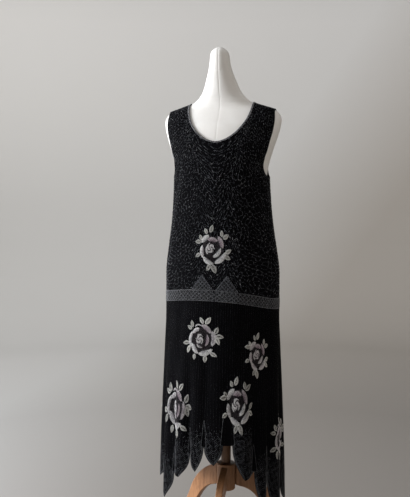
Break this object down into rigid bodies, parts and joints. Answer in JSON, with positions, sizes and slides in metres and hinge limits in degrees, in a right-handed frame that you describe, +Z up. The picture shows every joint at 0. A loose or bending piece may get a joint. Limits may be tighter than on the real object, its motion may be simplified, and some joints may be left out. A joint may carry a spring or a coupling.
{
  "type": "beaded dress on a dress form",
  "caption": "Sleeveless drop-waist beaded evening dress with roses and a petal hem, standing on a limbless dress form with a wooden tripod stand.",
  "frame": {"origin": "on the floor, in the middle of the footprint of the whole part", "axes": "+Z up, the dress faces -Y, +X is the viewer's right when looking at its front"},
  "size_m": [0.5046, 0.437, 1.697],
  "materials": {
    "beaded_cloth": "black glass beads sewn closely on black silk",
    "silver_beads": "lattice of grey and silver glass beads on silk",
    "black_edging": "narrow black beaded edging",
    "jersey": "matt white cotton jersey over a padded form",
    "brown_wood": "dark stained wood, satin",
    "beech": "pale beech, satin varnish"
  },
  "bodies": {
    "root": {"bodice_front": "beaded_cloth", "bodice_back": "beaded_cloth", "skirt_front": "beaded_cloth", "skirt_back": "beaded_cloth", "waistband_front": "silver_beads", "waistband_back": "silver_beads", "neck_edging": "silver_beads", "armhole_edging_left": "black_edging", "armhole_edging_right": "black_edging", "form_torso": "jersey", "pole": "brown_wood", "hub": "beech", "leg_front": "beech", "leg_right": "beech", "leg_left": "beech"}
  },
  "joints": []
}
